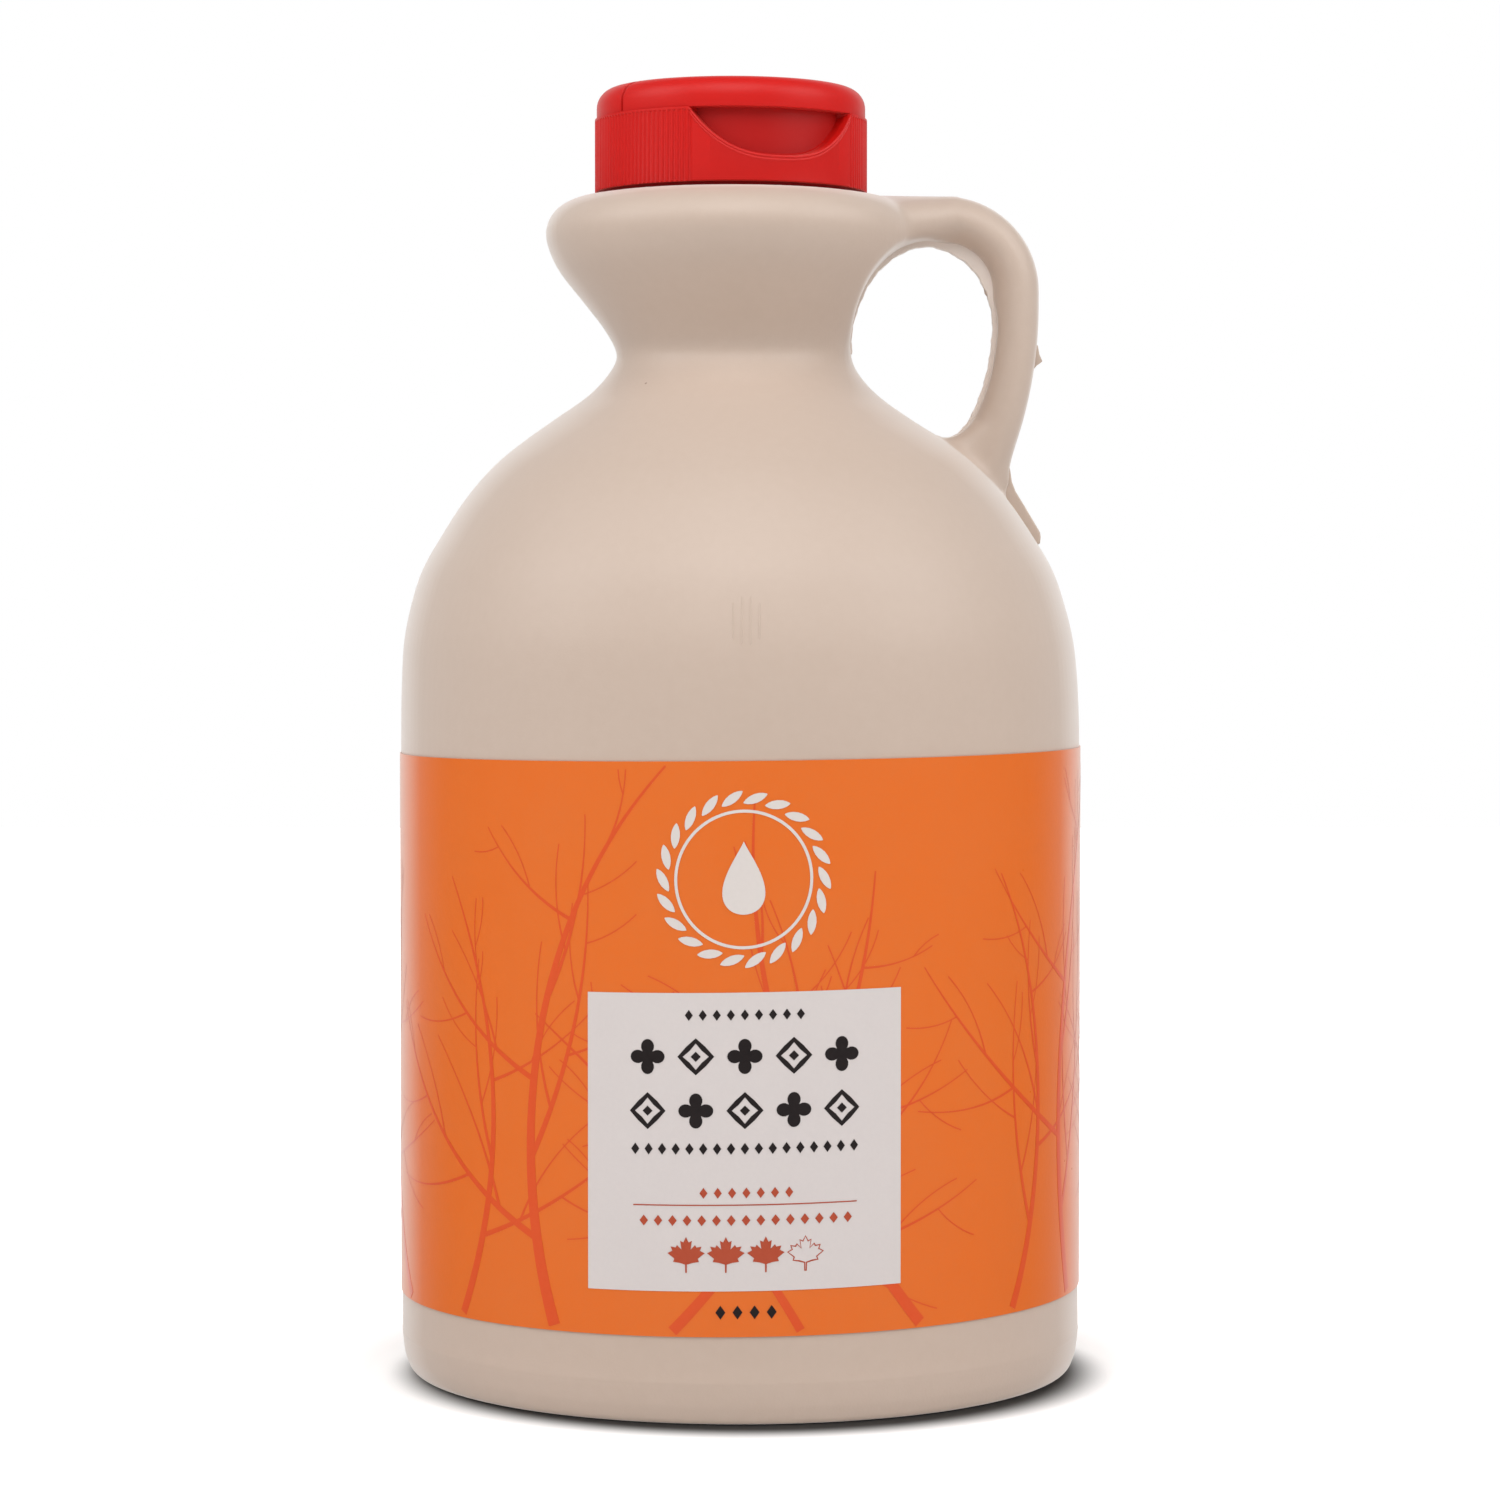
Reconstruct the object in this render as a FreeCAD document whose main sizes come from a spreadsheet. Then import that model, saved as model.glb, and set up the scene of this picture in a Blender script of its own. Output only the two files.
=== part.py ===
import FreeCAD, Part
import math
import os
import Sketcher

os.makedirs("parts", exist_ok=True)

doc = FreeCAD.newDocument("SyrupJug")
sheet = doc.addObject("Spreadsheet::Sheet", "Sizes")

# All lengths in millimetres and angles in degrees. +Z is up, z = 0 is the plane the jug rests on.
sizes = {
    # drum of the jug
    "wall_radius": 49.8,
    "foot_radius": 47.8,
    "heel_height": 5.5,
    "hollow_radius": 44.0,
    "hollow_height": 2.5,
    "drum_height": 96.0,
    # neck stub under the closure
    "neck_radius": 14.0,
    "neck_height": 9.0,
    # top of the head
    "head_height": 171.95,
    "head_shift": -1.2,
    # handle: a tube that leaves the head level, turns down and runs into the shoulder
    "grip_start": 12.0,
    "grip_level": 168.4,
    "bend_start": 29.4,
    "bend_radius": 11.0,
    "grip_sweep_radius": 60.0,
    "grip_sweep_angle": 31.0,
    "grip_half_width": 3.4,
    "grip_half_depth": 4.75,
    # finger hole
    "hole_centre_x": 26.9,
    "hole_centre_z": 154.7,
    "hole_radius": 10.0,
    "hole_depth": 70.0,
    # moulding fin under the handle root
    "fin_top_x": 39.9,
    "fin_top_z": 131.5,
    "fin_tip_x": 44.1,
    "fin_tip_z": 122.0,
    "fin_end_x": 42.6,
    "fin_end_z": 120.9,
    "fin_root_x": 36.0,
    "fin_thickness": 1.0,
    # closure
    "cap_shift": -1.35,
    "cap_turn": 21.5,
    "ring_radius": 18.6,
    "ring_height": 0.6,
    "skirt_radius": 19.95,
    "skirt_top": 11.2,
    "lid_radius": 19.7,
    "lid_top": 16.05,
    "lid_round": 3.0,
    "bore_radius": 14.0,
    "bore_depth": 9.0,
    "core_radius": 17.7,
    "recess_radius": 14.9,
    "recess_centre": 18.75,
    "hinge_offset": 5.05,
    "slit": 0.3,
    # wrap label
    "label_radius": 50.0,
    "label_bottom": 12.5,
    "label_height": 78.6,
    "label_skew": 0.54,
    "label_gap": 1.5,
}

# Shoulder, waist and head as (height, radius, sideways shift) sections, from the drum upwards.
sections = [
    (96.0, 49.8, 0.0),
    (102.0, 49.6, -0.1),
    (107.0, 49.1, -0.25),
    (112.6, 47.85, -0.35),
    (117.3, 46.25, -0.4),
    (121.9, 43.65, -0.45),
    (127.8, 39.7, -0.55),
    (132.5, 35.5, -0.7),
    (136.0, 31.2, -0.8),
    (139.6, 26.0, -1.0),
    (143.1, 21.05, -1.0),
    (146.6, 17.95, -0.9),
    (149.0, 17.2, -0.95),
    (152.5, 18.8, -1.05),
    (156.0, 21.4, -1.1),
    (160.6, 24.95, -1.2),
    (163.6, 26.5, -1.2),
    (167.2, 27.3, -1.2),
    (169.4, 26.15, -1.2),
    (171.0, 24.0, -1.2),
    (171.95, 20.4, -1.2),
]
for index, (height, radius, shift) in enumerate(sections):
    sizes["sec_height_%02d" % index] = height
    sizes["sec_radius_%02d" % index] = radius
    sizes["sec_shift_%02d" % index] = shift

# Lower rim of the finger hole, from the handle side round to the neck side.
holeRim = [
    (36.3, 146.6),
    (34.2, 140.8),
    (31.5, 137.2),
    (29.0, 137.2),
    (24.5, 139.6),
    (20.0, 143.1),
    (17.2, 146.6),
    (16.3, 150.0),
]
for index, (x, z) in enumerate(holeRim):
    sizes["rim_x_%02d" % index] = x
    sizes["rim_z_%02d" % index] = z

for row, (alias, value) in enumerate(sizes.items(), start=1):
    sheet.set("A%d" % row, alias)
    sheet.set("B%d" % row, "%g" % value)
    sheet.setAlias("B%d" % row, alias)
doc.recompute()


def newBody(label):
    body = doc.addObject("PartDesign::Body", label)
    body.Label = label
    return body


def newSketch(body, role, name):
    plane = [item for item in body.Origin.OriginFeatures if item.Role == role][0]
    sketch = body.newObject("Sketcher::SketchObject", name)
    sketch.AttachmentSupport = [(plane, "")]
    sketch.MapMode = "FlatFace"
    return sketch


def bind(sketch, constraint, text):
    index = sketch.addConstraint(constraint)
    sketch.setExpression("Constraints[%d]" % index, text)


def bindVertex(sketch, geometry, end, x, y):
    # x and y are (value, expression) pairs measured from the sketch origin
    for kind, (value, text) in (("DistanceX", x), ("DistanceY", y)):
        bind(sketch, Sketcher.Constraint(kind, -1, 1, geometry, end, value), text)


def place(alias):
    return (sizes[alias], "Sizes." + alias)


zero = (0.0, "0 mm")


def outline(sketch, corners):
    # closed outline with straight sides through the corners
    count = len(corners)
    for index in range(count):
        (ax, _), (ay, _) = corners[index]
        (bx, _), (by, _) = corners[(index + 1) % count]
        line = Part.LineSegment(FreeCAD.Vector(ax, ay, 0), FreeCAD.Vector(bx, by, 0))
        sketch.addGeometry(line)
    for index in range(count):
        following = (index + 1) % count
        sketch.addConstraint(Sketcher.Constraint("Coincident", index, 2, following, 1))
    for index, (x, y) in enumerate(corners):
        bindVertex(sketch, index, 1, x, y)


def revolve(body, sketch, name):
    feature = body.newObject("PartDesign::Revolution", name)
    feature.Profile = sketch
    feature.ReferenceAxis = (sketch, ["V_Axis"])
    feature.Angle = 360
    return feature


# ---- jug: drum, shoulder, head and handle in one moulding
jug = newBody("jug")

drumSketch = newSketch(jug, "XZ_Plane", "DrumOutline")
outline(drumSketch, [
    (zero, place("hollow_height")),
    (place("hollow_radius"), place("hollow_height")),
    (place("hollow_radius"), zero),
    (place("foot_radius"), zero),
    (place("wall_radius"), place("heel_height")),
    (place("wall_radius"), place("drum_height")),
    (zero, place("drum_height")),
])
revolve(jug, drumSketch, "Drum")

rings = []
for index, (height, radius, shift) in enumerate(sections):
    ring = newSketch(jug, "XY_Plane", "Section%02d" % index)
    ring.setExpression("AttachmentOffset.Base.z", "Sizes.sec_height_%02d" % index)
    ring.addGeometry(Part.Circle(FreeCAD.Vector(shift, 0, 0), FreeCAD.Vector(0, 0, 1), radius))
    bind(ring, Sketcher.Constraint("Radius", 0, radius), "Sizes.sec_radius_%02d" % index)
    bindVertex(ring, 0, 3, place("sec_shift_%02d" % index), zero)
    rings.append(ring)
doc.recompute()

shoulder = jug.newObject("PartDesign::AdditiveLoft", "ShoulderAndHead")
shoulder.Profile = rings[0]
shoulder.Sections = rings[1:]
shoulder.Ruled = False
doc.recompute()

neckSketch = newSketch(jug, "XY_Plane", "NeckOutline")
neckSketch.setExpression("AttachmentOffset.Base.z", "Sizes.head_height")
neckCentre = FreeCAD.Vector(sizes["cap_shift"], 0, 0)
neckSketch.addGeometry(Part.Circle(neckCentre, FreeCAD.Vector(0, 0, 1), sizes["neck_radius"]))
bind(neckSketch, Sketcher.Constraint("Radius", 0, sizes["neck_radius"]), "Sizes.neck_radius")
bindVertex(neckSketch, 0, 3, place("cap_shift"), zero)
neck = jug.newObject("PartDesign::Pad", "Neck")
neck.Profile = neckSketch
neck.setExpression("Length", "Sizes.neck_height")
doc.recompute()

# centre line of the handle: level run, quarter bend, then a wide sweep into the shoulder
spine = newSketch(jug, "XZ_Plane", "HandleSpine")
level = sizes["grip_level"]
bendX = sizes["bend_start"]
bend = sizes["bend_radius"]
sweep = sizes["grip_sweep_radius"]
sweepAngle = math.radians(sizes["grip_sweep_angle"])
bendCentre = FreeCAD.Vector(bendX, level - bend, 0)
sweepCentre = FreeCAD.Vector(bendX + bend - sweep, level - bend, 0)
up = FreeCAD.Vector(0, 0, 1)
spine.addGeometry(Part.LineSegment(
    FreeCAD.Vector(sizes["grip_start"], level, 0), FreeCAD.Vector(bendX, level, 0)))
spine.addGeometry(Part.ArcOfCircle(Part.Circle(bendCentre, up, bend), 0, math.pi / 2))
spine.addGeometry(Part.ArcOfCircle(Part.Circle(sweepCentre, up, sweep), -sweepAngle, 0))
spine.addConstraint(Sketcher.Constraint("Tangent", 0, 2, 1, 2))
spine.addConstraint(Sketcher.Constraint("Tangent", 1, 1, 2, 2))
bindVertex(spine, 0, 1, place("grip_start"), place("grip_level"))
bindVertex(spine, 0, 2, place("bend_start"), place("grip_level"))
bind(spine, Sketcher.Constraint("Radius", 1, bend), "Sizes.bend_radius")
bind(spine, Sketcher.Constraint("Radius", 2, sweep), "Sizes.grip_sweep_radius")
bind(spine, Sketcher.Constraint("Angle", 1, math.pi / 2), "90 deg")
bind(spine, Sketcher.Constraint("Angle", 2, sweepAngle), "Sizes.grip_sweep_angle * 1 deg")

gripSketch = newSketch(jug, "YZ_Plane", "HandleSection")
gripSketch.setExpression("AttachmentOffset.Base.z", "Sizes.grip_start")
gripEllipse = Part.Ellipse(
    FreeCAD.Vector(0, level, 0), sizes["grip_half_depth"], sizes["grip_half_width"])
gripSketch.addGeometry(gripEllipse)
gripSketch.exposeInternalGeometry(0)
bindVertex(gripSketch, 0, 3, zero, place("grip_level"))
gripSketch.addConstraint(Sketcher.Constraint("Horizontal", 1))
bind(gripSketch, Sketcher.Constraint("Distance", 1, 2 * sizes["grip_half_depth"]), "2 * Sizes.grip_half_depth")
bind(gripSketch, Sketcher.Constraint("Distance", 2, 2 * sizes["grip_half_width"]), "2 * Sizes.grip_half_width")
doc.recompute()
grip = jug.newObject("PartDesign::AdditivePipe", "Handle")
grip.Profile = gripSketch
grip.Spine = (spine, ["Edge1", "Edge2", "Edge3"])
doc.recompute()

# finger hole, straight through from front to back: round at the top, narrower towards the shoulder
holeSketch = newSketch(jug, "XZ_Plane", "HoleOutline")
holeX = sizes["hole_centre_x"]
holeZ = sizes["hole_centre_z"]
holeR = sizes["hole_radius"]
holeCircle = Part.Circle(FreeCAD.Vector(holeX, holeZ, 0), up, holeR)
holeSketch.addGeometry(Part.ArcOfCircle(holeCircle, 0, math.pi))
holeCorners = [(holeX + holeR, holeZ)] + holeRim + [(holeX - holeR, holeZ)]
for (ax, az), (bx, bz) in zip(holeCorners[:-1], holeCorners[1:]):
    side = Part.LineSegment(FreeCAD.Vector(ax, az, 0), FreeCAD.Vector(bx, bz, 0))
    holeSketch.addGeometry(side)
holeSketch.addConstraint(Sketcher.Constraint("Coincident", 0, 1, 1, 1))
for index in range(1, len(holeRim) + 1):
    holeSketch.addConstraint(Sketcher.Constraint("Coincident", index, 2, index + 1, 1))
holeSketch.addConstraint(Sketcher.Constraint("Coincident", len(holeRim) + 1, 2, 0, 2))
bindVertex(holeSketch, 0, 3, place("hole_centre_x"), place("hole_centre_z"))
for index in range(len(holeRim)):
    bindVertex(holeSketch, index + 2, 1, place("rim_x_%02d" % index), place("rim_z_%02d" % index))
bind(holeSketch, Sketcher.Constraint("Radius", 0, holeR), "Sizes.hole_radius")
for end in (1, 2):
    bind(holeSketch, Sketcher.Constraint("DistanceY", -1, 1, 0, end, holeZ), "Sizes.hole_centre_z")
hole = jug.newObject("PartDesign::Pocket", "FingerHole")
hole.Profile = holeSketch
hole.Midplane = True
hole.setExpression("Length", "Sizes.hole_depth")
doc.recompute()

# thin moulding fin that runs down the shoulder under the handle root
finSketch = newSketch(jug, "XZ_Plane", "FinOutline")
outline(finSketch, [
    (place("fin_top_x"), place("fin_top_z")),
    (place("fin_root_x"), place("fin_top_z")),
    (place("fin_root_x"), place("fin_end_z")),
    (place("fin_end_x"), place("fin_end_z")),
    (place("fin_tip_x"), place("fin_tip_z")),
])
fin = jug.newObject("PartDesign::Pad", "MouldingFin")
fin.Profile = finSketch
fin.Midplane = True
fin.setExpression("Length", "Sizes.fin_thickness")
doc.recompute()

# ---- cap_base: ribbed-height skirt with the finger recess, and the fixed rear half of the lid
# Both closure pieces are drawn with the recess towards -Y and turned into place.
capBase = newBody("cap_base")
capFlap = newBody("cap_flap")
for body in (capBase, capFlap):
    body.setExpression("Placement.Base.x", "Sizes.cap_shift")
    body.setExpression("Placement.Base.z", "Sizes.head_height")
    body.setExpression("Placement.Rotation.Angle", "Sizes.cap_turn")

skirtSketch = newSketch(capBase, "XZ_Plane", "SkirtOutline")
outline(skirtSketch, [
    (zero, place("bore_depth")),
    (place("bore_radius"), place("bore_depth")),
    (place("bore_radius"), zero),
    (place("ring_radius"), zero),
    (place("ring_radius"), place("ring_height")),
    (place("skirt_radius"), place("ring_height")),
    (place("skirt_radius"), place("skirt_top")),
    (zero, place("skirt_top")),
])
revolve(capBase, skirtSketch, "Skirt")
doc.recompute()

recessSketch = newSketch(capBase, "XZ_Plane", "RecessOutline")
recessCircle = Part.Circle(FreeCAD.Vector(0, sizes["recess_centre"], 0), up, sizes["recess_radius"])
recessSketch.addGeometry(recessCircle)
bind(recessSketch, Sketcher.Constraint("Radius", 0, sizes["recess_radius"]), "Sizes.recess_radius")
bindVertex(recessSketch, 0, 3, zero, place("recess_centre"))
recess = capBase.newObject("PartDesign::Pocket", "Recess")
recess.Profile = recessSketch
recess.setExpression("Length", "Sizes.skirt_radius + 1")
doc.recompute()
massY = capBase.Shape.Solids[0].CenterOfMass.y
if massY < 0:
    recess.Reversed = True
doc.recompute()

coreSketch = newSketch(capBase, "XZ_Plane", "CoreOutline")
outline(coreSketch, [
    (place("bore_radius"), place("ring_height")),
    (place("core_radius"), place("ring_height")),
    (place("core_radius"), place("skirt_top")),
    (zero, place("skirt_top")),
    (zero, place("bore_depth")),
    (place("bore_radius"), place("bore_depth")),
])
revolve(capBase, coreSketch, "Core")
doc.recompute()


def lidDisc(body, name, front):
    # full disc with its upper edge rounded, cut back to one side of the hinge line
    discSketch = newSketch(body, "XY_Plane", name + "Circle")
    discSketch.setExpression("AttachmentOffset.Base.z", "Sizes.skirt_top")
    radius = sizes["lid_radius"]
    chord = sizes["hinge_offset"] + (sizes["slit"] if front else 0.0)
    half = math.sqrt(radius ** 2 - chord ** 2)
    left = math.atan2(-chord, -half)
    right = math.atan2(-chord, half)
    if front:
        start, stop = left, right
    else:
        start, stop = right, left + 2 * math.pi
    circle = Part.Circle(FreeCAD.Vector(0, 0, 0), up, radius)
    discSketch.addGeometry(Part.ArcOfCircle(circle, start, stop))
    first = FreeCAD.Vector(-half, -chord, 0)
    second = FreeCAD.Vector(half, -chord, 0)
    discSketch.addGeometry(Part.LineSegment(first, second))
    firstEnd, secondEnd = (1, 2) if front else (2, 1)
    discSketch.addConstraint(Sketcher.Constraint("Coincident", 0, firstEnd, 1, 1))
    discSketch.addConstraint(Sketcher.Constraint("Coincident", 0, secondEnd, 1, 2))
    discSketch.addConstraint(Sketcher.Constraint("Coincident", 0, 3, -1, 1))
    bind(discSketch, Sketcher.Constraint("Radius", 0, radius), "Sizes.lid_radius")
    discSketch.addConstraint(Sketcher.Constraint("Horizontal", 1))
    text = "-Sizes.hinge_offset" + (" - Sizes.slit" if front else "")
    bind(discSketch, Sketcher.Constraint("DistanceY", -1, 1, 1, 1, -chord), text)
    disc = body.newObject("PartDesign::Pad", name)
    disc.Profile = discSketch
    disc.setExpression("Length", "Sizes.lid_top - Sizes.skirt_top")
    doc.recompute()
    top = sizes["lid_top"]
    names = []
    for index, edge in enumerate(disc.Shape.Edges, start=1):
        level = all(abs(vertex.Z - top) < 0.01 for vertex in edge.Vertexes)
        if level and isinstance(edge.Curve, Part.Circle) and edge.Curve.Radius > radius - 0.1:
            names.append("Edge%d" % index)
    rounded = body.newObject("PartDesign::Fillet", name + "Edge")
    rounded.Base = (disc, names)
    rounded.setExpression("Radius", "Sizes.lid_round")
    doc.recompute()


lidDisc(capBase, "FixedLid", False)

# ---- cap_flap: the front part of the lid that flips up about the hinge line
lidDisc(capFlap, "FlapDisc", True)

# ---- label: one wrap of paper with its edges slightly out of level and a gap at the back
labelOuter = doc.addObject("Part::Cylinder", "LabelOuter")
labelOuter.setExpression("Radius", "Sizes.label_radius")
labelOuter.setExpression("Height", "Sizes.drum_height")
labelInner = doc.addObject("Part::Cylinder", "LabelInner")
labelInner.setExpression("Radius", "Sizes.wall_radius")
labelInner.setExpression("Height", "Sizes.drum_height")
labelTube = doc.addObject("Part::Cut", "LabelTube")
labelTube.Base = labelOuter
labelTube.Tool = labelInner
labelBand = doc.addObject("Part::Box", "LabelBand")
labelBand.setExpression("Length", "3 * Sizes.label_radius")
labelBand.setExpression("Width", "3 * Sizes.label_radius")
labelBand.setExpression("Height", "Sizes.label_height")
labelBand.Placement.Rotation = FreeCAD.Rotation(FreeCAD.Vector(0, 1, 0), 0)
skewText = "Sizes.label_skew"
offset = "-1.5 * Sizes.label_radius"
labelBand.setExpression("Placement.Rotation.Angle", "-" + skewText)
labelBand.setExpression("Placement.Base.x", offset + " * cos(%s * 1 deg)" % skewText)
labelBand.setExpression("Placement.Base.y", offset)
labelBand.setExpression("Placement.Base.z", "Sizes.label_bottom + %s * sin(%s * 1 deg)" % (offset, skewText))
labelWrap = doc.addObject("Part::Common", "LabelWrap")
labelWrap.Base = labelTube
labelWrap.Tool = labelBand
labelSeam = doc.addObject("Part::Box", "LabelSeam")
labelSeam.setExpression("Length", "Sizes.label_gap")
labelSeam.setExpression("Width", "2 * Sizes.label_radius")
labelSeam.setExpression("Height", "Sizes.drum_height")
labelSeam.setExpression("Placement.Base.x", "-Sizes.label_gap / 2")
label = doc.addObject("Part::Cut", "label")
label.Label = "label"
label.Base = labelWrap
label.Tool = labelSeam
doc.recompute()

for item in doc.Objects:
    if "Invalid" in item.State or "Error" in item.State:
        raise RuntimeError("object in error: " + item.Name)

for node in (jug, capBase, capFlap, label):
    shape = node.Shape
    if shape.isNull() or not shape.isValid():
        raise RuntimeError("bad shape: " + node.Label)
    shape.exportStep("parts/%s.step" % node.Label)
    box = shape.optimalBoundingBox()
    print("%-9s solids %d volume %9.0f x %.2f..%.2f y %.2f..%.2f z %.2f..%.2f" % (
        node.Label, len(shape.Solids), shape.Volume,
        box.XMin, box.XMax, box.YMin, box.YMax, box.ZMin, box.ZMax))
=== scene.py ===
import math
import bmesh
import bpy
from mathutils import Matrix, Vector
from mathutils.geometry import interpolate_bezier


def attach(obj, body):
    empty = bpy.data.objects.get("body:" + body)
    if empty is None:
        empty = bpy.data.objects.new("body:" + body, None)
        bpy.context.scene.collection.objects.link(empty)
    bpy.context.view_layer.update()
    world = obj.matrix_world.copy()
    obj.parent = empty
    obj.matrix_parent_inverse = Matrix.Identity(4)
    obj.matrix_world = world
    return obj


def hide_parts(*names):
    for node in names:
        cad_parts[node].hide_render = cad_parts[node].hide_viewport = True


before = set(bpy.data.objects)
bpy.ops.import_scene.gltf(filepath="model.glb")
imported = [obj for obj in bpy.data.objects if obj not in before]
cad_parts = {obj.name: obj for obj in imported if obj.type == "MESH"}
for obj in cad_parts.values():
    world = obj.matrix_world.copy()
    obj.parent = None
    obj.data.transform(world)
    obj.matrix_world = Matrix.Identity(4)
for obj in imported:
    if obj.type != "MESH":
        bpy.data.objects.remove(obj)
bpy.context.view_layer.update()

mm = 0.001
print("frame loaded:", sorted(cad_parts))


# ---------- small helpers

def leaveEdit():
    bpy.ops.object.mode_set(mode="OBJECT")


def deselectAll():
    if bpy.context.object and bpy.context.object.mode != "OBJECT":
        leaveEdit()
    bpy.ops.object.select_all(action="DESELECT")


def pickObject(obj):
    deselectAll()
    obj.select_set(True)
    bpy.context.view_layer.objects.active = obj


def newPiece(name):
    obj = bpy.context.object
    obj.name = name
    obj.data.name = name
    return obj


def bakePlace(obj):
    pickObject(obj)
    bpy.ops.object.transform_apply(location=True, rotation=True, scale=True)


def selectFaces(obj, test):
    # edit mode with only the faces that pass the test
    pickObject(obj)
    bpy.ops.object.mode_set(mode="EDIT")
    bpy.ops.mesh.select_mode(type="FACE")
    bpy.ops.mesh.select_all(action="DESELECT")
    mesh = bmesh.from_edit_mesh(obj.data)
    for face in mesh.faces:
        face.select = bool(test(face.calc_center_median(), face.normal))
    mesh.select_flush_mode()
    bmesh.update_edit_mesh(obj.data)


def editAll(obj):
    pickObject(obj)
    bpy.ops.object.mode_set(mode="EDIT")
    bpy.ops.mesh.select_all(action="SELECT")


def pullOut(x, y, z):
    bpy.ops.mesh.extrude_region_move(TRANSFORM_OT_translate={"value": (x, y, z)})


def tidyMesh(obj):
    editAll(obj)
    bpy.ops.mesh.remove_doubles(threshold=0.002 * mm)
    bpy.ops.mesh.normals_make_consistent(inside=False)
    leaveEdit()


def applyModifier(obj, kind, **settings):
    pickObject(obj)
    modifier = obj.modifiers.new(kind.title(), kind)
    for key, value in settings.items():
        setattr(modifier, key, value)
    bpy.ops.object.modifier_apply(modifier=modifier.name)


def joinInto(target, others):
    deselectAll()
    for other in others:
        other.select_set(True)
    target.select_set(True)
    bpy.context.view_layer.objects.active = target
    bpy.ops.object.join()
    return target


def copyOf(obj, name):
    double = obj.copy()
    double.data = obj.data.copy()
    double.name = name
    bpy.context.collection.objects.link(double)
    return double


def filledOutline(name, spots):
    # one flat face through the spots, in their order
    deselectAll()
    bpy.ops.mesh.primitive_circle_add(vertices=len(spots), radius=mm, fill_type="NGON")
    piece = newPiece(name)
    for vert, spot in zip(piece.data.vertices, spots):
        vert.co = [value * mm for value in spot]
    return piece


def smoothLine(points, steps):
    # a smooth curve through the points, by bezier spans whose handles follow the neighbours
    vectors = [Vector(point) for point in points]
    count = len(vectors)
    line = [vectors[0]]
    for index in range(count - 1):
        start = vectors[index]
        stop = vectors[index + 1]
        before = vectors[max(index - 1, 0)]
        after = vectors[min(index + 2, count - 1)]
        span = (stop - start).length
        first = (stop - before).normalized() * span / 3
        last = (after - start).normalized() * span / 3
        line += interpolate_bezier(start, start + first, stop - last, stop, steps + 1)[1:]
    return line


def lathe(name, outline, steps):
    # one vertex is drawn along the outline (radius, height) and spun about Z
    profile = [(radius * mm, height * mm) for radius, height in outline]
    deselectAll()
    bpy.ops.mesh.primitive_plane_add(size=0.001, location=(profile[0][0], 0, profile[0][1]))
    obj = newPiece(name)
    bakePlace(obj)
    editAll(obj)
    bpy.ops.mesh.merge(type="CENTER")
    for (r0, z0), (r1, z1) in zip(profile, profile[1:]):
        pullOut(r1 - r0, 0, z1 - z0)
    bpy.ops.mesh.select_all(action="SELECT")
    bpy.ops.mesh.spin(steps=steps, angle=2 * math.pi, center=(0, 0, 0), axis=(0, 0, 1))
    leaveEdit()
    tidyMesh(obj)
    return obj


# ---------- materials

def newMaterial(name):
    material = bpy.data.materials.new(name)
    material.use_nodes = True
    tree = material.node_tree
    coords = tree.nodes.new("ShaderNodeTexCoord")
    return material, tree, tree.nodes["Principled BSDF"], coords.outputs["Object"]


def newGroup(name, inputs, outputs):
    tree = bpy.data.node_groups.new(name, "ShaderNodeTree")
    for label, kind, value in inputs:
        socket = tree.interface.new_socket(name=label, in_out="INPUT", socket_type="NodeSocket" + kind)
        if value is not None:
            socket.default_value = value
    for label, kind in outputs:
        tree.interface.new_socket(name=label, in_out="OUTPUT", socket_type="NodeSocket" + kind)
    start = tree.nodes.new("NodeGroupInput")
    end = tree.nodes.new("NodeGroupOutput")
    return tree, start.outputs, end.inputs


def setInputs(node, **values):
    for label, value in values.items():
        node.inputs[label.replace("_", " ")].default_value = value


def ramp(tree, value, low, high, toLow=0.0, toHigh=1.0):
    node = tree.nodes.new("ShaderNodeMapRange")
    setInputs(node, From_Min=low, From_Max=high, To_Min=toLow, To_Max=toHigh)
    tree.links.new(value, node.inputs["Value"])
    return node.outputs["Result"]


def maths(tree, operation, first, second):
    node = tree.nodes.new("ShaderNodeMath")
    node.operation = operation
    for socket, value in zip(node.inputs, (first, second)):
        if isinstance(value, (int, float)):
            socket.default_value = value
        else:
            tree.links.new(value, socket)
    return node.outputs[0]


def vectorStep(tree, operation, vector, *values):
    node = tree.nodes.new("ShaderNodeVectorMath")
    node.operation = operation
    tree.links.new(vector, node.inputs[0])
    for socket, value in zip(node.inputs[1:], values):
        socket.default_value = value
    return node.outputs


def axisOf(tree, vector, axis):
    split = tree.nodes.new("ShaderNodeSeparateXYZ")
    tree.links.new(vector, split.inputs[0])
    return split.outputs[axis]


def blendColour(tree, factor, first, second):
    node = tree.nodes.new("ShaderNodeMix")
    node.data_type = "RGBA"
    sockets = (node.inputs[0], node.inputs[6], node.inputs[7])
    for socket, value in zip(sockets, (factor, first, second)):
        if isinstance(value, (int, float, tuple)):
            socket.default_value = value
        else:
            tree.links.new(value, socket)
    return node.outputs[2]


def linear(red, green, blue):
    # a colour written as 0 to 255 steps, as the renderer wants it
    def channel(step):
        part = step / 255
        return part / 12.92 if part <= 0.04045 else ((part + 0.055) / 1.055) ** 2.4
    return (channel(red), channel(green), channel(blue), 1.0)


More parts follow.
